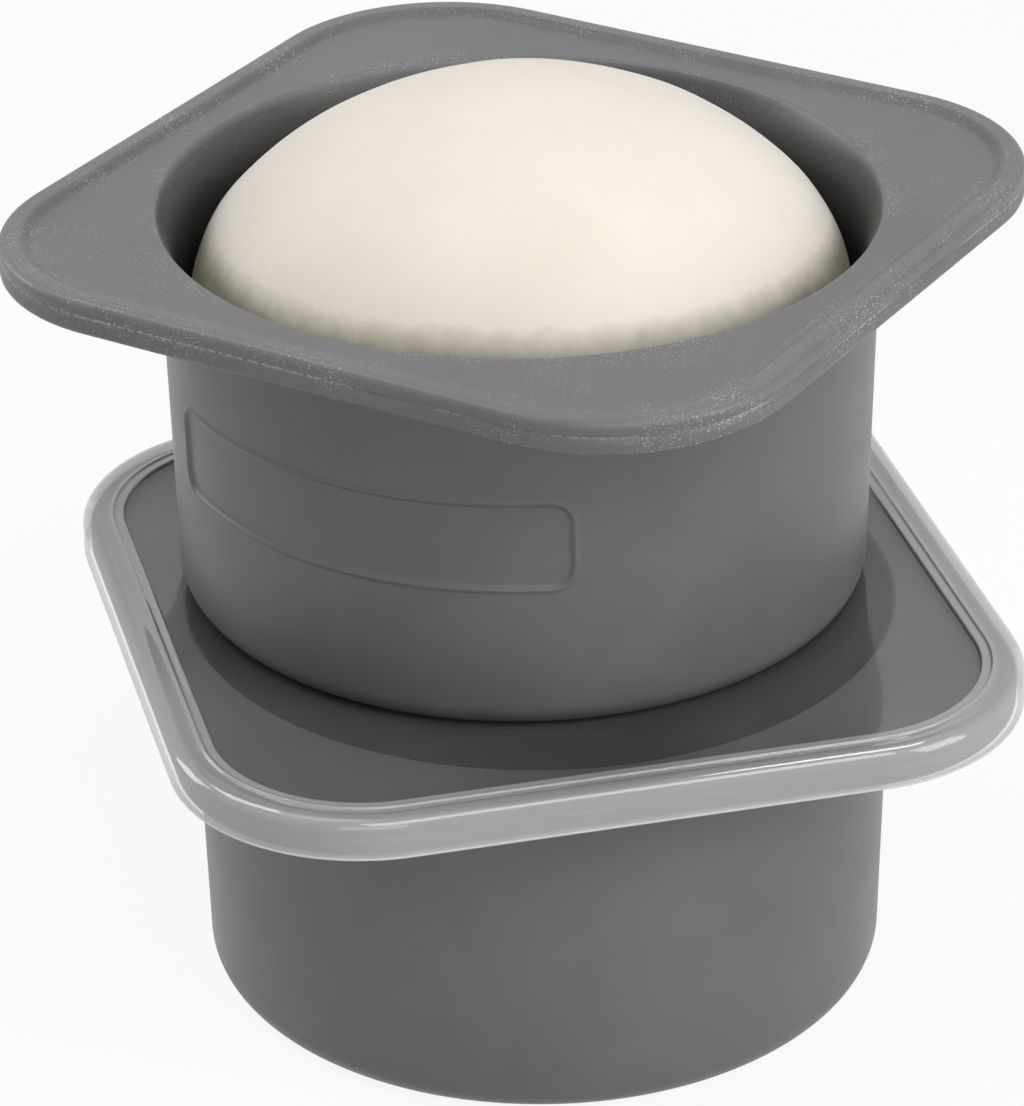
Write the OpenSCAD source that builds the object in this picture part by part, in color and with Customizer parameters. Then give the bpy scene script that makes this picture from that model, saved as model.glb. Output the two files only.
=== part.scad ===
// Two silicone dough proofing containers, one standing on the lid of the other.
// Each is a round bowl under a square rim. The closed one is square to the axes and
// its foot stands at the origin. The open one is turned on the lid and holds the dough.

/* [Bowl] */
// Inner radius that the bowl's wall, drawn on straight, has at the flat of the rim
bowl_r = 53.2; // [46:0.1:60]
// Thickness of the bowl's wall
wall = 2.2; // [1.6:0.1:3.5]
// Depth from the flat of the rim to the floor inside
bowl_depth = 59.9; // [50:0.1:80]
// Thickness of the floor
floor_t = 3; // [2:0.1:5]
// How much the wall's radius shrinks from the rim down to the foot
taper = 1.35; // [0.5:0.05:3]
// Radius of the hollow between the wall and the floor inside
floor_round = 8; // [5:0.5:14]
// Radius of the round at the foot outside
foot_round = 4.5; // [2:0.25:6]
// Radius of the long curve by which the wall leans out towards the mouth
mouth_flare = 18; // [12:0.5:22]
// Lean of the wall where that curve ends, at the mouth's edge
mouth_lean = 30; // [15:1:36]
// Radius of the mouth's edge
mouth_edge = 0.7; // [0.5:0.05:1.5]

/* [Rim] */
// How far the square rim reaches past the bowl's wall at the middle of a side
rim_reach = 9.6; // [9:0.1:20]
// Radius of the rim's corners
rim_corner = 29; // [20:0.5:36]
// Thickness of the rim below its flat
rim_t = 4.6; // [4:0.1:7]
// Height of the raised lip above the flat of the rim
lip_h = 0.9; // [0.5:0.05:1.5]
// Width of the raised lip
lip_w = 3; // [2.5:0.1:4]
// Width of the slope from the flat up to the lip
lip_slope = 2.4; // [1.8:0.1:3]
// Radius of the rim's edge above
rim_edge_top = 1.2; // [0.5:0.1:1.5]
// Radius of the rim's edge below
rim_edge_under = 1; // [0.5:0.1:1.5]
// Radius of the hollow between the wall and the rim's underside
under_rim_round = 2; // [1:0.1:3]

/* [Lid] */
// Thickness of the lid's flat panel
panel_t = 1.25; // [0.8:0.05:2]
// Thickness of the lid's rim
lid_wall = 0.95; // [0.7:0.05:1.4]
// Gap between the lid's skirt and the rim of the container
skirt_gap = 0.3; // [0.2:0.05:0.6]
// Gap between the lid and the top of the raised lip
lip_gap = 0.4; // [0.3:0.05:0.8]
// How far the skirt hangs below the flat of the container's rim
skirt_drop = 4.3; // [3:0.1:4.5]
// Radius of the lid's upper edge outside
lid_edge = 2; // [1.2:0.1:2.4]
// Height of the step from the panel up to the lid's rim
step_h = 0.5; // [0.3:0.05:0.8]
// Width over which that step rises
step_run = 0.45; // [0.3:0.05:0.6]
// How far inside the foot of the rim's slope the step begins
step_inset = 0.3; // [0.1:0.05:0.6]
// Radius of the fine bead that runs round the lid beside the step
bead_r = 0.3; // [0.2:0.05:0.4]
// Distance between the step and the bead
bead_gap = 1.35; // [0.8:0.05:1.6]

/* [Stack] */
// Turn of the open container on the lid
upper_turn = 45; // [0:1:90]
// Sideways place of the open container on the lid
upper_x = -0.7; // [-3:0.1:3]
// Gap between the open container's foot and the lid's step behind it
foot_gap = 0.4; // [0.3:0.1:8]

/* [Dough] */
// Gap between the wall and the widest part of the dough
dough_side_gap = 1.3; // [1:0.1:4]
// Depth of the widest part of the dough below the flat of the rim
dough_waist = 15; // [8:0.5:20]
// Height of the dough's crown above the flat of the rim
dough_crown = 18; // [10:0.5:30]
// Radius of the dough's shoulder
shoulder_round = 18; // [12:0.5:24]
// Radius of the dough's lower edge
dough_base_round = 38; // [30:0.5:42]
// Gap between the dough and the floor
dough_floor_gap = 0.2; // [0.1:0.1:0.5]

/* [Hidden] */
$fn = 96;
ARC_STEPS = 10;

// Heights in one container
flat_z = bowl_depth + floor_t;
lip_top = flat_z + lip_h;
rim_under = flat_z - rim_t;

// The wall leans outwards by this angle, inside and outside alike
lean = atan(taper / flat_z);
wall_r = bowl_r + wall;
foot_r = wall_r - taper;
floor_r = bowl_r - bowl_depth * tan(lean);

// Widths of the square rim. Its corners turn about four upright axes, and every outline of
// the rim and of the lid is concentric with them.
rim_half = wall_r + rim_reach;
corner_at = rim_half - rim_corner;
lip_in = rim_corner - lip_w;
flat_end = lip_in - lip_slope;

// Heights of the lid above the flat of the rim
crest_z = lip_h + lip_gap + lid_wall;
step_top = panel_t + step_h;
skirt_in = rim_corner + skirt_gap;
skirt_out = skirt_in + lid_wall;
lid_edge_in = lid_edge - lid_wall;
panel_end = flat_end - step_inset;
step_end = panel_end + step_run;
bead_in = step_end + bead_gap;
bead_out = bead_in + 2 * bead_r;
crest_in = skirt_out - lid_edge;

// Place of the open container on the lid's panel
stand_z = flat_z + panel_t;
foot_swell = sqrt(pow(foot_round, 2) - pow(foot_round - step_h, 2));
foot_at_step = foot_r - foot_round + foot_swell;
set_back = corner_at + step_end - foot_at_step - foot_gap;

// From each corner of a leaning wall and a level face to the ends of its round
foot_turn = tangent(foot_round);
floor_turn = tangent(floor_round);
under_turn = tangent(under_rim_round);

// The mouth's curve starts in line with the wall and runs on into the mouth's edge, and the
// flat starts where that edge ends
curve_more = mouth_flare - mouth_edge;
curve_down = mouth_edge + curve_more * sin(mouth_lean);
curve_x = bowl_r + mouth_flare / cos(lean) - curve_down * tan(lean);
mouth_r = curve_x - curve_more * cos(mouth_lean);

// Distance from such a corner to where a round of radius r meets the two faces
function tangent(r) = r * tan(45 - lean / 2);

// Points on an arc about the centre c from angle a to angle b
function arc(c, r, a, b, steps = ARC_STEPS) =
    [for (i = [0:steps]) c + r * [cos(a + (b - a) * i / steps), sin(a + (b - a) * i / steps)]];

// Points on an easy rise of a height over a run, level at both ends
function rise(from, run, height, steps = ARC_STEPS) =
    [for (i = [0:steps]) from + [run * i / steps, height * (1 - cos(180 * i / steps)) / 2]];

// Half section of the bowl outside, from the foot up into the rim
module bowl_section() {
    foot = [foot_r - foot_turn, foot_round];
    under_r = foot_r + rim_under * tan(lean) + under_turn;
    polygon(concat(
        [[0, 0]],
        arc(foot, foot_round, -90, -lean),
        arc([under_r, rim_under - under_rim_round], under_rim_round, 180 - lean, 90),
        [[under_r, flat_z - rim_t / 2], [0, flat_z - rim_t / 2]]
    ));
}

// Half section of the space inside the bowl, from the floor out over the mouth
module hollow_section() {
    over = flat_z + lip_h + 1;
    polygon(concat(
        [[0, floor_t]],
        arc([floor_r - floor_turn, floor_t + floor_round], floor_round, -90, -lean),
        arc([curve_x, flat_z - curve_down], mouth_flare, 180 - lean, 180 - mouth_lean),
        arc([mouth_r, flat_z - mouth_edge], mouth_edge, 180 - mouth_lean, 90),
        [[mouth_r, over], [0, over]]
    ));
}

// Section of the square rim, outwards from the corner axis: flat, slope, raised lip and edge
module rim_section() {
    polygon(concat(
        [[0, rim_under]],
        arc([rim_corner - rim_edge_under, rim_under + rim_edge_under], rim_edge_under, -90, 0),
        arc([rim_corner - rim_edge_top, lip_top - rim_edge_top], rim_edge_top, 0, 90),
        rise([lip_in, lip_top], -lip_slope, -lip_h),
        [[0, flat_z]]
    ));
}

// Section of the lid, outwards from the corner axis: panel, step, bead, crest and skirt
module lid_section() {
    top = concat(
        [[0, panel_t]],
        rise([panel_end, panel_t], step_run, step_h, 6),
        arc([bead_in + bead_r, step_top], bead_r, 180, 0, 6),
        rise([bead_out, step_top], crest_in - bead_out, crest_z - step_top, 6),
        arc([crest_in, crest_z - lid_edge], lid_edge, 90, 0)
    );
    under = concat(
        arc([skirt_in - lid_edge_in, crest_z - lid_edge], lid_edge_in, 0, 90),
        rise([lip_in, crest_z - lid_wall], -lip_slope, -(crest_z - lid_wall), 6),
        [[0, 0]]
    );
    translate([0, flat_z])
        polygon(concat(top, [[skirt_out, -skirt_drop], [skirt_in, -skirt_drop]], under));
}

// Sweeps a section round the four corner axes and along the sides between them
module square_sweep() {
    for (turn = [0:90:270]) rotate(turn) {
        translate([corner_at, corner_at, 0]) rotate_extrude(angle = 90) children();
        translate([corner_at, 0, 0]) rotate([90, 0, 0])
            linear_extrude(height = 2 * corner_at, center = true) children();
    }
}

// Level plate between the corner axes
module middle(z, t) {
    translate([-corner_at, -corner_at, z]) cube([2 * corner_at, 2 * corner_at, t]);
}

// One container: a bowl and its square rim in one moulding
module container() {
    difference() {
        union() {
            square_sweep() rim_section();
            middle(rim_under, rim_t);
            rotate_extrude() bowl_section();
        }
        rotate_extrude() hollow_section();
    }
}

// Places what belongs to the open container on the lid
module on_lid() {
    translate([upper_x, set_back, stand_z]) rotate(upper_turn) children();
}

module lower_container() {
    color([0.36, 0.36, 0.37]) container();
}

module lid() {
    color([0.8, 0.81, 0.82, 0.6]) {
        square_sweep() lid_section();
        middle(flat_z, panel_t);
    }
}

module upper_container() {
    color([0.36, 0.36, 0.37]) on_lid() container();
}

// Risen dough: a crown arc over round shoulders, resting on the floor on a small flat
module dough_ball() {
    waist_z = flat_z - dough_waist;
    waist_r = bowl_r - dough_waist * tan(lean) - dough_side_gap;
    base_z = floor_t + dough_floor_gap;
    shoulder_at = waist_r - shoulder_round;
    rise_h = dough_waist + dough_crown;
    crown_r = (pow(shoulder_at, 2) + pow(rise_h, 2) - pow(shoulder_round, 2))
        / (2 * (rise_h - shoulder_round));
    crown_z = waist_z + rise_h - crown_r;
    meet = atan2(waist_z - crown_z, shoulder_at);
    base_r = waist_r - dough_base_round;
    color([0.94, 0.92, 0.87]) on_lid() rotate_extrude() polygon(concat(
        [[0, base_z]],
        arc([base_r, base_z + dough_base_round], dough_base_round, -90, 0),
        arc([shoulder_at, waist_z], shoulder_round, 0, meet),
        arc([0, crown_z], crown_r, meet, 90)
    ));
}

lower_container();
lid();
upper_container();
dough_ball();
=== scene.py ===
"""Looks of two stacked dough proofing containers: the lower one lidded, the upper one open over its dough."""

import math

import bmesh
import bpy
import numpy as np
from mathutils import Matrix, Vector, noise


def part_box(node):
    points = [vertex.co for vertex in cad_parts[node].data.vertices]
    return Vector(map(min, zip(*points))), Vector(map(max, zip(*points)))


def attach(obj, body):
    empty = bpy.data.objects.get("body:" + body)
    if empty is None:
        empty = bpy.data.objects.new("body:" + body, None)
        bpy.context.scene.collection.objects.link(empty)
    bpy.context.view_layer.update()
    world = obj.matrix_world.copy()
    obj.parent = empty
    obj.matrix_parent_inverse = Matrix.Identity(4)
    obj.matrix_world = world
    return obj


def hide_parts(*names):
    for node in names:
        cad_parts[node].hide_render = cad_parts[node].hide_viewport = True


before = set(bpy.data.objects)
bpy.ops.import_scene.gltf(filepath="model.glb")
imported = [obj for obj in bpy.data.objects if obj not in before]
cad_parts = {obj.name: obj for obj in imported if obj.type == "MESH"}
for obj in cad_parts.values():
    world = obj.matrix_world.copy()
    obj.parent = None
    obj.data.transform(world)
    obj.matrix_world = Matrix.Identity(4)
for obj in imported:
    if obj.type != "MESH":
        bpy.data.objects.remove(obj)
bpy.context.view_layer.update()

# Shapes are worked out in millimetres and meshed in metres
MM = 0.001

# Sizes of one container, as in the part
BOWL_R = 53.2
WALL = 2.2
FLAT_Z = 62.9
FLOOR_Z = 3.0
TAPER = 1.35
FLOOR_ROUND = 8.0
FOOT_ROUND = 4.5
MOUTH_FLARE = 18.0
MOUTH_LEAN = 30.0
MOUTH_EDGE = 0.7
RIM_REACH = 9.6
RIM_CORNER = 29.0
RIM_T = 4.6
LIP_H = 0.9
LIP_W = 3.0
LIP_SLOPE = 2.4
EDGE_TOP = 1.2
EDGE_UNDER = 1.0
UNDER_ROUND = 2.0

# Sizes of the lid, as in the part
PANEL_T = 1.25
LID_WALL = 0.95
SKIRT_GAP = 0.3
LIP_GAP = 0.4
SKIRT_DROP = 4.3
LID_EDGE = 2.0
STEP_H = 0.5
STEP_RUN = 0.45
STEP_INSET = 0.3
BEAD_R = 0.3
BEAD_GAP = 1.35

# Worked out from them
LEAN = math.atan(TAPER / FLAT_Z)
LEAN_DEG = math.degrees(LEAN)
FOOT_R = BOWL_R + WALL - TAPER
FLOOR_R = BOWL_R - (FLAT_Z - FLOOR_Z) * math.tan(LEAN)
CORNER_AT = BOWL_R + WALL + RIM_REACH - RIM_CORNER
LIP_IN = RIM_CORNER - LIP_W
LIP_TOP = FLAT_Z + LIP_H
RIM_UNDER = FLAT_Z - RIM_T
CURVE_MORE = MOUTH_FLARE - MOUTH_EDGE
CURVE_DOWN = MOUTH_EDGE + CURVE_MORE * math.sin(math.radians(MOUTH_LEAN))
CURVE_X = BOWL_R + MOUTH_FLARE / math.cos(LEAN) - CURVE_DOWN * math.tan(LEAN)
MOUTH_R = CURVE_X - CURVE_MORE * math.cos(math.radians(MOUTH_LEAN))

# Place of the upper container: turned on the lid, where the part has it
UPPER_TURN = math.radians(45)
upper_low, upper_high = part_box("upper_container")
UPPER_AT = (
    (upper_low.x + upper_high.x) / 2 / MM,
    (upper_low.y + upper_high.y) / 2 / MM,
    upper_low.z / MM,
)

# Steps in which the sections are drawn
WALL_STEPS = 10
FLOOR_STEPS = 14
CURVE_STEPS = 10
SLOPE_STEPS = 12
EDGE_STEPS = 8
FOOT_STEPS = 12
LEVEL_STEPS = 8
CREST_STEPS = 14

# Radii of the rings on the level faces inside and under a container, and on the lid's panel
FLOOR_RINGS = (6, 18, 32)
FOOT_RINGS = (34, 18, 6)
PANEL_RINGS = (6.0, 20.0, 36.0, 50.0)

# The parting line, a fine groove round the rim's edge: distance below the lip's top, half width, depth
PARTING_AT = 2.43
PARTING_W = 0.26
PARTING_DEEP = 0.16

# Painted shade on the wall inside, which is also a little glossier there, starts at once below the mouth's edge
# and is full at this depth
INNER_SHADE_AT_MOUTH = 0.5
INNER_SHADE_DEPTH = 26.0

# The bare plaque on the upper container's wall, which faces away from its local +X
PLAQUE_ANGLE = math.radians(180.8)
PLAQUE_HALF = 36.6
PLAQUE_LOW = 24.4
PLAQUE_HIGH = 38.8
PLAQUE_ROUND = 3.6
PLAQUE_DEEP = 0.32
PLAQUE_RIDGE = 0.28
PLAQUE_RIDGE_W = 0.38
PLAQUE_SHARP = 4.5

# Rings and angles are crowded where the plaque is
PLAQUE_MARGIN = 1.5
PLAQUE_ROW = 0.28
PLAQUE_COLUMN = 0.3
PLAQUE_SIDE_MARGIN = 0.04
ROW_APART = 1

# The lid's skin keeps this far from the flat of the rim below it and from the foot that stands on it
LID_OFF = 0.08
PANEL_OFF = 0.03

# How opaque each stretch of the lid's skin is, and how milky the strip beside the bead is
PANEL_BODY = 0.33
STRIP_BODY = 0.66
SKIRT_BODY = 0.57
HEM_BODY = 0.8
UNDER_BODY = 0.05
STRIP_MILK = 0.95

# The milky stretch ends this many rings before the last one of the lid's underside
CLEAR_UNDER = 8

# The dough: depth of its waist, the round below it, how full its crown is and how far its top leans over
DOUGH_WAIST = 15.0
DOUGH_BASE_ROUND = 38.0
DOUGH_POWER = 1.8
DOUGH_LEAN = (0.44, -0.73)

# Its faint lumps: how much they stand out, how far all is drawn in for them, and where they fade
LUMP = 0.6
LUMP_ROOM = 0.45
LUMP_FADE_R = 12
LUMP_SCALE = 0.028
LUMP_SCALE_Z = 0.03

# A band of painted shade on the dough near the wall, also glossier and wrinkled. It starts at a height above
# the flat of the rim that is tilted towards one side, is full one run lower and fades between two depths below
# the flat.
GAP_SHADE_FROM = -3.6
GAP_SHADE_TILT = 3.4
GAP_SHADE_SIDE = math.radians(211)
GAP_SHADE_RUN = 4.4
GAP_SHADE_FADE = (9.0, 19.0)
GAP_SHADE_BELOW = 0.2

# Colours, and pairs of colours that a mottle runs between
SILICONE = ((0.122, 0.122, 0.124, 1), (0.144, 0.144, 0.146, 1))
# Painted shade for the wall inside
SILICONE_INNER_SHADE = (0.022, 0.022, 0.023, 1)
# Painted shade for the lip's inner slope, and a painted highlight for the lip's edges
SILICONE_SHADE = (0.03, 0.03, 0.031, 1)
SILICONE_EDGE_HIGHLIGHT = (0.4, 0.4, 0.4, 1)
FLOUR = (0.62, 0.61, 0.58, 1)
DOUGH = ((0.815, 0.76, 0.68, 1), (0.845, 0.793, 0.714, 1))
# Painted shade for the dough's band near the wall
DOUGH_GAP_SHADE = (0.35, 0.335, 0.255, 1)
LID_CLEAR = ((0.235, 0.236, 0.238, 1), (0.275, 0.276, 0.278, 1))
LID_MILKY = (0.56, 0.563, 0.567, 1)
# Painted light along the lid's hem, where light comes out of the plastic's edge
LID_HEM_LIGHT = (0.72, 0.72, 0.72, 1)
FLOOR_PALE = (0.86, 0.86, 0.86, 1)
WHITE = (1, 1, 1, 1)

# Camera, fitted to the photograph: picture and focal length in pixels, angles, and distances in millimetres
IMAGE_W, IMAGE_H = 1024, 1106
FOCAL_PX = 5068.4
AXIS_X, AXIS_Y = 540.63, 602.79
CAMERA_TURN = math.radians(14.01)
CAMERA_DOWN = math.radians(28.8)
CAMERA_ROLL = math.radians(-0.71)
CAMERA_FAR = 799.65
TARGET_Z = 60.48

# The floor: half its side, how far it lies below the foot, and how much of it is plain white where it is seen
FLOOR_HALF = 20.0
FLOOR_BELOW = 0.00005
FLOOR_GLOW = 0.9

# Name, place, size and power of each lamp, in metres and watts. All aim at one point on the upright axis.
LAMPS = [
    ("overhead_right", (0.4, 0.0, 1.1), (0.27, 0.27), 2.5),
    ("overhead_left", (-0.3, 0.0, 1.15), (0.5, 0.5), 1.3),
    ("left_back", (-0.5, 0.35, 0.95), (0.4, 0.4), 2.5),
    ("low_back", (-0.9, 0.7, 0.5), (0.5, 0.5), 3.5),
    ("right_front", (0.9, -0.75, 0.5), (0.6, 0.9), 6.6),
    ("front", (-0.25, -1.2, 0.5), (0.8, 0.6), 2.4),
    ("front_high", (0.1, -0.8, 1.0), (0.7, 0.5), 4.9),
]
LAMP_AIM = (0, 0, 0.07)


def tangent(r):
    """Distance from the corner of a leaning wall and a level face to the ends of its round."""
    return r * math.tan(math.pi / 4 - LEAN / 2)


def arc(x, z, r, start, end, steps):
    """Points on an arc, angles in degrees."""
    return [(x + r * math.cos(math.radians(a)), z + r * math.sin(math.radians(a)))
            for a in np.linspace(start, end, steps + 1)]


def ease(x, z, run, height, steps):
    """Points on a rise that is level at both ends."""
    return [(x + run * t, z + height * (1 - math.cos(math.pi * t)) / 2) for t in np.linspace(0, 1, steps + 1)]


def square_radius(theta, reach):
    """Polar radius of the outline that lies reach outside the four corner axes."""
    a = np.maximum(np.abs(np.cos(theta)), np.abs(np.sin(theta)))
    b = np.minimum(np.abs(np.cos(theta)), np.abs(np.sin(theta)))
    side = (CORNER_AT + reach) / a
    both = CORNER_AT * (a + b)
    corner = both + np.sqrt(np.maximum(both ** 2 - 2 * CORNER_AT ** 2 + reach ** 2, 0))
    return np.where(side * b <= CORNER_AT, side, corner)


def circle_rings(points, theta):
    """Round rings through the points of a section, drawn out from the upright axis."""
    return [(np.full_like(theta, r), z) for r, z in points]


def square_rings(points, theta):
    """Square rings with round corners through the points of a section, drawn out from the corner axes."""
    return [(square_radius(theta, x), z) for x, z in points]


def between(first, last, steps):
    """Rings that pass from one outline to another, without the two themselves."""
    return [(first[0] + (last[0] - first[0]) * t, first[1] + (last[1] - first[1]) * t)
            for t in np.linspace(0, 1, steps + 2)[1:-1]]


def even_angles(count):
    """Angles at equal steps all round."""
    return np.linspace(0, 2 * math.pi, count, endpoint=False)


def plaque_angles(coarse):
    """Angles all round, crowded where the plaque is."""
    half = PLAQUE_HALF / BOWL_R + PLAQUE_SIDE_MARGIN
    fine = np.arange(PLAQUE_ANGLE - half, PLAQUE_ANGLE + half, PLAQUE_COLUMN / BOWL_R)
    rest = np.linspace(fine[-1], fine[0] + 2 * math.pi, coarse)[1:-1]
    return np.sort(np.concatenate([fine, rest]) % (2 * math.pi))


def ring_values(count, *spans):
    """One value for each ring: 0, but for the spans given as first ring, end and value."""
    values = np.zeros(count)
    for first, end, value in spans:
        values[first:end] = value
    return values


def skin(name, rings, theta, attributes):
    """A closed mesh from rings that run from one pole to the other, with the first and last rings fanned shut.

    Each attribute has one entry for each ring, a number or one number for each angle.
    """
    n = len(theta)
    cos, sin = np.cos(theta), np.sin(theta)
    rows = [np.c_[r * cos, r * sin, np.broadcast_to(z, r.shape)] for r, z in rings]
    poles = [[[0, 0, float(rings[end][1])]] for end in (0, -1)]
    points = np.concatenate(rows + poles)
    first, last = len(points) - 2, len(points) - 1
    ring = np.arange(n)
    following = np.roll(ring, -1)
    faces = []
    for k in range(len(rings) - 1):
        a, b = k * n, (k + 1) * n
        faces.append(np.c_[a + ring, a + following, b + following, b + ring])
    quads = np.concatenate(faces)
    end = (len(rings) - 1) * n
    fans = [(first, int(following[i]), int(i)) for i in ring]
    fans += [(last, int(end + i), int(end + following[i])) for i in ring]
    mesh = bpy.data.meshes.new(name)
    mesh.from_pydata((points * MM).tolist(), [], quads.tolist() + fans)
    mesh.validate()
    mesh.polygons.foreach_set("use_smooth", [True] * len(mesh.polygons))
    for key, per_ring in attributes.items():
        at_rings = [np.broadcast_to(value, n) for value in per_ring]
        at_poles = [[np.mean(per_ring[0])], [np.mean(per_ring[-1])]]
        layer = mesh.attributes.new(key, "FLOAT", "POINT")
        layer.data.foreach_set("value", np.concatenate(at_rings + at_poles).astype(np.float32))
    piece = bpy.data.objects.new(name, mesh)
    bpy.context.scene.collection.objects.link(piece)
    return piece


def recalc(piece):
    """Turns every face outwards."""
    bm = bmesh.new()
    bm.from_mesh(piece.data)
    bmesh.ops.recalc_face_normals(bm, faces=bm.faces)
    bm.to_mesh(piece.data)
    bm.free()


def inside_section():
    """From the middle of the floor, up the wall inside and over the mouth's edge."""
    points = [(r, FLOOR_Z) for r in FLOOR_RINGS]
    round_r = FLOOR_R - tangent(FLOOR_ROUND)
    points += arc(round_r, FLOOR_Z + FLOOR_ROUND, FLOOR_ROUND, -90, -LEAN_DEG, FLOOR_STEPS)
    mouth = arc(CURVE_X, FLAT_Z - CURVE_DOWN, MOUTH_FLARE, 180 - LEAN_DEG, 180 - MOUTH_LEAN, CURVE_STEPS)
    mouth += arc(MOUTH_R, FLAT_Z - MOUTH_EDGE, MOUTH_EDGE, 180 - MOUTH_LEAN, 90, EDGE_STEPS)[1:]
    low, high = np.array(points[-1]), np.array(mouth[0])
    points += [tuple(low + (high - low) * t) for t in np.linspace(0, 1, WALL_STEPS + 1)[1:-1]]
    return points + mouth


def rim_stretches():
    """The rim outwards from the corner axes, as four stretches: slope, upper edge, parting line, lower edge."""
    part_z = LIP_TOP - PARTING_AT
    groove = RIM_CORNER - PARTING_DEEP
    return [
        ease(LIP_IN - LIP_SLOPE, FLAT_Z, LIP_SLOPE, LIP_H, SLOPE_STEPS),
        arc(RIM_CORNER - EDGE_TOP, LIP_TOP - EDGE_TOP, EDGE_TOP, 90, 0, EDGE_STEPS),
        [(RIM_CORNER, part_z + PARTING_W), (groove, part_z + PARTING_W / 3),
         (groove, part_z - PARTING_W / 3), (RIM_CORNER, part_z - PARTING_W)],
        arc(RIM_CORNER - EDGE_UNDER, RIM_UNDER + EDGE_UNDER, EDGE_UNDER, 0, -90, EDGE_STEPS),
    ]


def outside_stretches(has_plaque):
    """From the rim's underside down to the middle of the foot, as three stretches: round, wall, foot."""
    under_r = FOOT_R + RIM_UNDER * math.tan(LEAN) + tangent(UNDER_ROUND)
    under = arc(under_r, RIM_UNDER - UNDER_ROUND, UNDER_ROUND, 90, 180 - LEAN_DEG, EDGE_STEPS)
    foot = arc(FOOT_R - tangent(FOOT_ROUND), FOOT_ROUND, FOOT_ROUND, -LEAN_DEG, -90, FOOT_STEPS)
    (top_r, top_z), (low_r, low_z) = under[-1], foot[0]
    heights = np.linspace(top_z, low_z, WALL_STEPS + 1)[1:-1]
    if has_plaque:
        fine = np.arange(PLAQUE_LOW - PLAQUE_MARGIN, PLAQUE_HIGH + PLAQUE_MARGIN, PLAQUE_ROW)
        clear = (heights < fine[0] - ROW_APART) | (heights > fine[-1] + ROW_APART)
        heights = sorted(set(np.round(np.concatenate([heights[clear], fine]), 4)), reverse=True)
    wall = [(low_r + (top_r - low_r) * (z - low_z) / (top_z - low_z), z) for z in heights]
    return [under, wall, foot + [(r, 0) for r in FOOT_RINGS]]


def plaque_relief(theta, r, z):
    """How far the wall stands out, for a shallow recess inside a fine raised outline."""
    turn = (theta - PLAQUE_ANGLE + math.pi) % (2 * math.pi) - math.pi
    x = np.abs(turn * r) - (PLAQUE_HALF - PLAQUE_ROUND)
    y = abs(z - (PLAQUE_LOW + PLAQUE_HIGH) / 2) - ((PLAQUE_HIGH - PLAQUE_LOW) / 2 - PLAQUE_ROUND)
    beyond = np.hypot(np.maximum(x, 0), max(y, 0)) + np.minimum(np.maximum(x, y), 0) - PLAQUE_ROUND
    ridge = PLAQUE_RIDGE * np.exp(-(beyond / PLAQUE_RIDGE_W) ** 2)
    recess = -PLAQUE_DEEP * (1 - np.tanh((beyond + PLAQUE_RIDGE_W) * PLAQUE_SHARP)) / 2
    return ridge + recess


def container_mesh(name, theta, is_upper):
    """One silicone moulding, as one closed skin from the floor inside out to the foot.

    The upper one has the plaque and is floured. Where the lower one lies under the lid it is smooth.
    """
    inside = circle_rings(inside_section(), theta)
    slope, edge_top, parting, edge_under = [square_rings(points, theta) for points in rim_stretches()]
    under, wall, foot = [circle_rings(points, theta) for points in outside_stretches(is_upper)]
    if is_upper:
        wall = [(r + plaque_relief(theta, r, z), z) for r, z in wall]
    flat = between(inside[-1], slope[0], LEVEL_STEPS)
    back = between(edge_under[-1], under[0], LEVEL_STEPS)
    rings = inside + flat + slope + edge_top + parting + edge_under + back + under + wall + foot

    # Where the stretches start
    at_flat = len(inside)
    at_slope = at_flat + len(flat)
    at_edge = at_slope + len(slope)
    at_parting = at_edge + len(edge_top)
    at_under = at_parting + len(parting)

    count = len(rings)
    dust = ring_values(
        count,
        (at_flat - 14, at_slope, 0.3),
        (at_flat - 6, at_flat + 1, 0.8),
        (at_slope, at_parting, 0.8),
        (at_parting, at_under, 1.0),
        (at_under, at_under + 10, 0.3),
        (at_under + 1, at_under + 3, 0.9),
    )
    seam = ring_values(count, (at_parting + 1, at_parting + 3, 1.0))
    covered = ring_values(count, (at_flat, at_parting, 1.0))
    # Painted shade on the wall inside, growing with depth below the mouth's edge
    depth = np.array([FLAT_Z - MOUTH_EDGE * 0.6 - z for _, z in inside])
    inner_shade = ring_values(count, (0, at_flat, np.clip(INNER_SHADE_AT_MOUTH + depth / INNER_SHADE_DEPTH, 0, 1) * (depth > 0)))
    # Painted shade on the lip's inner slope, below 0, and painted highlights on the lip's top and outer edge,
    # above 0
    relief_shade_and_highlight = ring_values(
        count,
        (at_slope, at_edge, -np.sin(np.linspace(0, math.pi, len(slope))) ** 1.5),
        (at_edge - 1, at_edge + 3, 0.35),
        (at_parting - 4, at_parting, 0.35),
    )
    return skin(name, rings, theta, {
        "dust": dust * is_upper,
        "inner_shade": inner_shade,
        "relief_shade_and_highlight": relief_shade_and_highlight,
        "seam": seam,
        "grain": 1 - covered * (not is_upper),
    })


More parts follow.
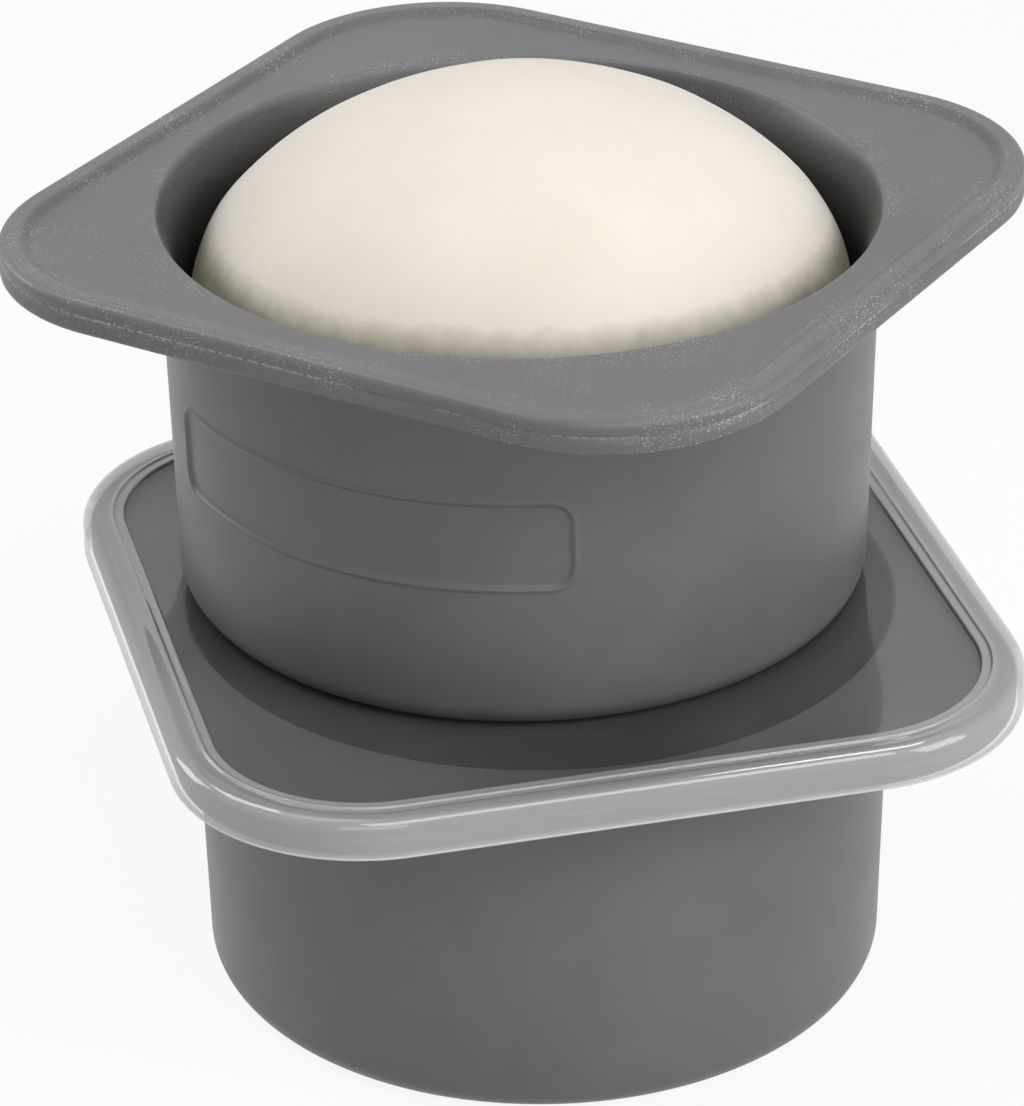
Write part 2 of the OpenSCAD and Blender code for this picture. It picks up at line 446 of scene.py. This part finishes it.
def lid_mesh(name, theta):
    """The lid as one closed skin: its upper face from the middle out to the skirt, and back underneath."""
    skirt_in = RIM_CORNER + SKIRT_GAP
    skirt_out = skirt_in + LID_WALL
    crest_z = LIP_H + LIP_GAP + LID_WALL
    panel_end = LIP_IN - LIP_SLOPE - STEP_INSET
    step_end = panel_end + STEP_RUN
    bead_in = step_end + BEAD_GAP
    bead_out = bead_in + 2 * BEAD_R
    crest_in = skirt_out - LID_EDGE
    step_top = PANEL_T + STEP_H
    panel_z = PANEL_T - PANEL_OFF
    foot_z = -SKIRT_DROP

    step = ease(panel_end, panel_z, STEP_RUN, step_top - panel_z, EDGE_STEPS)
    ledge = [(step_end + 0.4, step_top - 0.02), (bead_in - 0.4, step_top - 0.02)]
    bead = arc(bead_in + BEAD_R, step_top, BEAD_R, 180, 0, EDGE_STEPS)
    rise = ease(bead_out, step_top, crest_in - bead_out, crest_z - step_top, CURVE_STEPS)[1:]
    crest = arc(crest_in, crest_z - LID_EDGE, LID_EDGE, 90, 0, CREST_STEPS)[1:]
    skirt = [(skirt_out, z) for z in np.linspace(crest_z - LID_EDGE, foot_z + 0.55, 5)[1:]]
    hem = [(skirt_out, foot_z + 0.4), (skirt_out, foot_z + 0.15), (skirt_out - 0.06, foot_z + 0.04),
           (skirt_out - 0.15, foot_z), (skirt_in + 0.1, foot_z), (skirt_in, foot_z + 0.1)]
    bend = LID_EDGE - LID_WALL
    under = [(skirt_in, foot_z + 0.5)]
    under += arc(skirt_in - bend, crest_z - LID_EDGE, bend, 0, 90, EDGE_STEPS)
    under += ease(LIP_IN, crest_z - LID_WALL, -LIP_SLOPE, LID_WALL - crest_z + LID_OFF, CURVE_STEPS)

    panel = [(r, FLAT_Z + panel_z) for r in PANEL_RINGS]
    below = [(r, FLAT_Z + LID_OFF) for r in reversed(PANEL_RINGS)]
    rim = [(x, z + FLAT_Z) for x, z in step + ledge + bead + rise + crest + skirt + hem + under]
    rings = circle_rings(panel, theta) + square_rings(rim, theta) + circle_rings(below, theta)

    # Where the looks change: halfway up the step, where the crest starts, and at both ends of the hem
    count = len(rings)
    at_strip = len(panel) + len(step) // 2 + 1
    at_crest = len(panel) + len(step + ledge + bead + rise) - 1
    at_hem = at_crest + 1 + len(crest + skirt)
    at_under = at_hem + len(hem)
    body = ring_values(
        count,
        (0, at_strip, PANEL_BODY),
        (at_strip, at_crest, STRIP_BODY),
        (at_crest, at_hem, SKIRT_BODY),
        (at_hem, at_under, HEM_BODY),
        (at_under, count, UNDER_BODY),
    )
    at_clear = at_under + len(under) - CLEAR_UNDER
    milk = ring_values(count, (at_strip, at_crest, STRIP_MILK), (at_crest, at_clear, 1.0))
    # Painted light along the hem
    edge = ring_values(count, (at_hem, at_under, 1.0))
    return skin(name, rings, theta, {"body": body, "milk": milk, "edge": edge})


def dough_mesh(name, theta):
    """Risen dough: a crown over round shoulders, faintly lumpy, on a small flat."""
    low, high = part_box("dough_ball")
    base_z = low.z / MM - UPPER_AT[2]
    crown_z = high.z / MM - UPPER_AT[2]
    waist_r = (high.x - low.x) / 2 / MM
    waist_z = FLAT_Z - DOUGH_WAIST
    rise = crown_z - waist_z
    full = 2 / DOUGH_POWER
    points = [(waist_r * math.cos(a) ** full, waist_z + rise * math.sin(a) ** full)
              for a in np.radians(np.linspace(90, 0, 72, endpoint=False))]
    base_middle = base_z + DOUGH_BASE_ROUND
    points += [(waist_r, z) for z in np.linspace(waist_z, base_middle, 4, endpoint=False)]
    points += arc(waist_r - DOUGH_BASE_ROUND, base_middle, DOUGH_BASE_ROUND, 0, -90, 40)
    points = [p for p in points if p[0] > 1.5]
    rings = []
    for r, z in points:
        lump = np.array([
            noise.fractal(Vector((x * LUMP_SCALE + 3, y * LUMP_SCALE, z * LUMP_SCALE_Z)), 0.9, 2.1, 3)
            for x, y in zip(r * np.cos(theta), r * np.sin(theta))
        ])
        fade = min(1.0, r / LUMP_FADE_R)
        rings.append((r + lump * LUMP * fade - LUMP_ROOM * fade, z))
    # Painted shade in a band near the wall, tilted towards one side
    start = FLAT_Z + GAP_SHADE_FROM + GAP_SHADE_TILT * np.cos(theta - GAP_SHADE_SIDE)
    gap_shade = [np.clip((start - z) / GAP_SHADE_RUN, 0, 1) * np.interp(FLAT_Z - z, GAP_SHADE_FADE, (1, GAP_SHADE_BELOW))
            for _, z in rings]
    piece = skin(name, rings, theta, {"gap_shade": gap_shade})
    for vertex in piece.data.vertices:
        height = max(0.0, vertex.co.z / MM - waist_z) / rise
        vertex.co.x += DOUGH_LEAN[0] * height * MM
        vertex.co.y += DOUGH_LEAN[1] * height * MM
    return piece


def place_upper(piece):
    """Moves a piece that was made about the upright axis to the upper container's place."""
    turn = Matrix.Rotation(UPPER_TURN, 4, "Z")
    move = Matrix.Translation(Vector(UPPER_AT) * MM)
    piece.data.transform(move @ turn)


def add_camera():
    """A camera with the photograph's viewing angle and perspective."""
    sin_t, cos_t = math.sin(CAMERA_TURN), math.cos(CAMERA_TURN)
    sin_d, cos_d = math.sin(CAMERA_DOWN), math.cos(CAMERA_DOWN)
    ahead = Vector((sin_t * cos_d, cos_t * cos_d, -sin_d))
    level = Vector((cos_t, -sin_t, 0))
    above = level.cross(ahead)
    right = math.cos(CAMERA_ROLL) * level + math.sin(CAMERA_ROLL) * above
    up = math.cos(CAMERA_ROLL) * above - math.sin(CAMERA_ROLL) * level
    data = bpy.data.cameras.new("camera")
    data.lens = FOCAL_PX * data.sensor_width / IMAGE_H
    data.shift_x = (IMAGE_W / 2 - AXIS_X) / IMAGE_H
    data.shift_y = (AXIS_Y - IMAGE_H / 2) / IMAGE_H
    data.clip_start = 0.01
    camera = bpy.data.objects.new("camera", data)
    place = (Vector((0, 0, TARGET_Z)) - ahead * CAMERA_FAR) * MM
    camera.matrix_world = Matrix.Translation(place) @ Matrix((right, up, -ahead)).transposed().to_4x4()
    bpy.context.scene.collection.objects.link(camera)
    bpy.context.scene.camera = camera


class Shader:
    """A material's node tree, with short calls to add nodes and links."""

    def __init__(self, name):
        self.material = bpy.data.materials.new(name)
        self.material.use_nodes = True
        self.nodes = self.material.node_tree.nodes
        self.links = self.material.node_tree.links
        self.bsdf = self.nodes["Principled BSDF"]
        self.place = self.add("ShaderNodeTexCoord").outputs["Object"]

    def add(self, kind, **values):
        """A node, with values for its settings or, by their names with _ for spaces, its sockets."""
        node = self.nodes.new(kind)
        for key, value in values.items():
            if hasattr(node, key):
                setattr(node, key, value)
            else:
                node.inputs[key.replace("_", " ")].default_value = value
        return node

    def feed(self, socket, value):
        """Sets a socket to a plain value, or links it to another node's output."""
        if isinstance(value, (tuple, list, int, float)):
            socket.default_value = value
        else:
            self.links.new(value, socket)

    def noise(self, scale, detail=3.0, rough=0.55):
        node = self.add("ShaderNodeTexNoise", Scale=scale, Detail=detail, Roughness=rough)
        self.links.new(self.place, node.inputs["Vector"])
        return node.outputs["Fac"]

    def mottle(self, scale, detail, low=0.0, high=1.0):
        """Soft patches that run between two values."""
        return self.ramp(self.noise(scale, detail), 0.3, 0.7, low, high)

    def specks(self, scale, size):
        """Round specks, about one to every third cell of the given scale."""
        cells = self.add("ShaderNodeTexVoronoi", Scale=scale)
        self.links.new(self.place, cells.inputs["Vector"])
        some = self.ramp(cells.outputs["Color"], 0.62, 0.66)
        return self.times(self.ramp(cells.outputs["Distance"], size, size * 0.5), some)

    def ramp(self, value, low, high, to_low=0.0, to_high=1.0):
        node = self.add("ShaderNodeMapRange", From_Min=low, From_Max=high, To_Min=to_low, To_Max=to_high)
        self.links.new(value, node.inputs["Value"])
        return node.outputs["Result"]

    def math(self, operation, a, b):
        node = self.add("ShaderNodeMath", operation=operation)
        self.feed(node.inputs[0], a)
        self.feed(node.inputs[1], b)
        return node.outputs[0]

    def times(self, a, b):
        return self.math("MULTIPLY", a, b)

    def attribute(self, name):
        return self.add("ShaderNodeAttribute", attribute_name=name).outputs["Fac"]

    def mix(self, amount, a, b):
        node = self.add("ShaderNodeMix", data_type="RGBA")
        factor, first, second = (node.inputs[k] for k in (0, 6, 7))
        self.feed(factor, amount)
        self.feed(first, a)
        self.feed(second, b)
        return node.outputs[2]

    def bump(self, height, distance, strength):
        node = self.add("ShaderNodeBump", Distance=distance, Strength=strength)
        self.links.new(height, node.inputs["Height"])
        self.links.new(node.outputs["Normal"], self.bsdf.inputs["Normal"])

    def set(self, **values):
        """Sets or links sockets of the material's own shader."""
        for key, value in values.items():
            self.feed(self.bsdf.inputs[key.replace("_", " ")], value)


def silicone_material():
    """Matt grey silicone with a faint mottle, painted shade inside and on the lip's inner slope, painted
    highlights on the lip's edges, and flour caught on its rim and in its parting line.
    """
    s = Shader("silicone")
    inner_shade = s.attribute("inner_shade")
    relief_shade_and_highlight = s.attribute("relief_shade_and_highlight")
    grey = s.mix(s.mottle(45, 4), *SILICONE)
    # Painted shade darkens the wall inside
    grey = s.mix(inner_shade, grey, SILICONE_INNER_SHADE)
    # Painted shade on the lip's inner slope, then painted highlights on the lip's edges
    grey = s.mix(s.ramp(relief_shade_and_highlight, -1, 0, 0.34, 0.0), grey, SILICONE_SHADE)
    grey = s.mix(s.ramp(relief_shade_and_highlight, 0, 1, 0.0, 0.16), grey, SILICONE_EDGE_HIGHLIGHT)

    patches = s.ramp(s.noise(55, 3), 0.4, 0.62)
    grains = s.math("MAXIMUM", s.specks(2000, 0.32), s.specks(3400, 0.36))
    film = s.ramp(s.noise(2600, 3, 0.7), 0.5, 0.72, 0.0, 0.10)
    loose = s.times(s.times(s.math("ADD", grains, film), patches), s.attribute("dust"))
    dashes = s.times(s.ramp(s.noise(1500, 2), 0.36, 0.56), s.ramp(s.noise(30, 2), 0.38, 0.55))
    line = s.times(s.attribute("seam"), dashes)
    flour = s.math("MAXIMUM", s.times(loose, 0.95), s.times(line, 0.6))
    s.set(Base_Color=s.mix(flour, grey, FLOUR))

    # Where shade is painted inside, the silicone is also a little glossier
    s.set(Roughness=s.math("SUBTRACT", s.mottle(90, 3, 0.38, 0.46), s.times(inner_shade, 0.08)))
    s.set(Specular_IOR_Level=0.45)
    grain = s.math("ADD", s.noise(700, 3), s.times(s.noise(120, 2), 2.0))
    s.bump(s.times(grain, s.attribute("grain")), 0.00004, 0.5)
    return s.material


def dough_material():
    """Soft cream dough with faint blotches and a fine skin, and a band of painted grey shade near the wall,
    where it is also glossier and wrinkled.
    """
    s = Shader("dough")
    cream = s.mix(s.ramp(s.noise(38, 4), 0.35, 0.65), *DOUGH)
    # A ragged band of painted shade, where the dough is also glossier and wrinkled
    ragged = s.math("ADD", s.attribute("gap_shade"), s.ramp(s.noise(260, 4, 0.65), 0.25, 0.75, -0.14, 0.14))
    gap_shade = s.ramp(ragged, 0.1, 1.0)
    s.set(Base_Color=s.mix(gap_shade, cream, DOUGH_GAP_SHADE), Roughness=s.ramp(gap_shade, 0, 1, 0.62, 0.42))
    s.set(Subsurface_Weight=0.85, Subsurface_Scale=0.013, Subsurface_Radius=(1.0, 0.8, 0.6))
    s.set(Specular_IOR_Level=0.35)
    wrinkles = s.times(s.times(s.noise(900, 3), gap_shade), 2.0)
    s.bump(s.math("ADD", s.noise(420, 4, 0.6), wrinkles), 0.0001, 0.5)
    return s.material


def lid_material():
    """Frosted polypropylene: nearly clear where it lies on the silicone, milky where it stands off, with
    painted light along the hem.
    """
    s = Shader("lid_plastic")
    base = s.mix(s.mottle(60, 4), *LID_CLEAR)
    base = s.mix(s.attribute("milk"), base, LID_MILKY)
    # Painted light along the hem
    base = s.mix(s.attribute("edge"), base, LID_HEM_LIGHT)
    s.set(Base_Color=base, Alpha=s.attribute("body"), Roughness=s.mottle(70, 3, 0.07, 0.11))
    s.set(IOR=1.49, Specular_IOR_Level=0.9, Coat_Weight=0.8, Coat_Roughness=0.05, Coat_IOR=1.5)
    s.bump(s.noise(110, 2), 0.00003, 0.3)
    return s.material


def backdrop_rays(nodes, links):
    """One for the rays that see the backdrop itself: straight, mirrored or through clear plastic."""
    ray = nodes.new("ShaderNodeLightPath")
    total = ray.outputs["Is Camera Ray"]
    for name in ("Is Glossy Ray", "Is Transmission Ray"):
        most = nodes.new("ShaderNodeMath")
        most.operation = "MAXIMUM"
        links.new(total, most.inputs[0])
        links.new(ray.outputs[name], most.inputs[1])
        total = most.outputs[0]
    return total


def add_floor():
    """A plain pale floor that keeps a faint shadow."""
    corners = [(x * FLOOR_HALF, y * FLOOR_HALF, 0) for x, y in ((-1, -1), (1, -1), (1, 1), (-1, 1))]
    mesh = bpy.data.meshes.new("floor")
    mesh.from_pydata(corners, [], [(0, 1, 2, 3)])
    floor = bpy.data.objects.new("floor", mesh)
    floor.location.z = -FLOOR_BELOW
    bpy.context.scene.collection.objects.link(floor)
    s = Shader("floor_white")
    s.set(Base_Color=FLOOR_PALE, Roughness=0.9, Specular_IOR_Level=0.1)
    glow = s.add("ShaderNodeEmission", Strength=1.0)
    mix = s.add("ShaderNodeMixShader")
    s.links.new(s.times(backdrop_rays(s.nodes, s.links), FLOOR_GLOW), mix.inputs["Fac"])
    s.links.new(s.bsdf.outputs[0], mix.inputs[1])
    s.links.new(glow.outputs[0], mix.inputs[2])
    s.links.new(mix.outputs[0], s.nodes["Material Output"].inputs["Surface"])
    mesh.materials.append(s.material)


def add_world():
    """A world that is white where it is seen and lights nothing."""
    world = bpy.data.worlds.new("studio")
    world.use_nodes = True
    nodes, links = world.node_tree.nodes, world.node_tree.links
    unlit = nodes["Background"]
    unlit.inputs["Color"].default_value = WHITE
    unlit.inputs["Strength"].default_value = 0.0
    seen = nodes.new("ShaderNodeBackground")
    seen.inputs["Color"].default_value = WHITE
    mix = nodes.new("ShaderNodeMixShader")
    links.new(backdrop_rays(nodes, links), mix.inputs["Fac"])
    links.new(unlit.outputs[0], mix.inputs[1])
    links.new(seen.outputs[0], mix.inputs[2])
    links.new(mix.outputs[0], nodes["World Output"].inputs["Surface"])
    bpy.context.scene.world = world


def add_lamps():
    """Soft rectangular lamps."""
    for name, place, size, power in LAMPS:
        data = bpy.data.lights.new(name, "AREA")
        data.shape = "RECTANGLE"
        data.size, data.size_y = size
        data.energy = power
        lamp = bpy.data.objects.new(name, data)
        lamp.location = place
        aim = Vector(LAMP_AIM) - Vector(place)
        lamp.rotation_euler = aim.to_track_quat("-Z", "Y").to_euler()
        bpy.context.scene.collection.objects.link(lamp)


def dress(piece, body, node, material):
    """Finishes a piece and lets it ride on its body in place of its node."""
    recalc(piece)
    if body in ("upper_container", "dough"):
        place_upper(piece)
    piece.data.materials.append(material)
    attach(piece, body)
    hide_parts(node)


add_camera()
silicone = silicone_material()
all_round = even_angles(480)
dress(container_mesh("lower_container_skin", all_round, False),
      "lower_container", "lower_container", silicone)
dress(container_mesh("upper_container_skin", plaque_angles(240), True),
      "upper_container", "upper_container", silicone)
dress(lid_mesh("lid_skin", all_round), "lid", "lid", lid_material())
dress(dough_mesh("dough", even_angles(240)), "dough", "dough_ball", dough_material())
add_floor()
add_world()
add_lamps()
bpy.context.scene.view_settings.view_transform = "Standard"
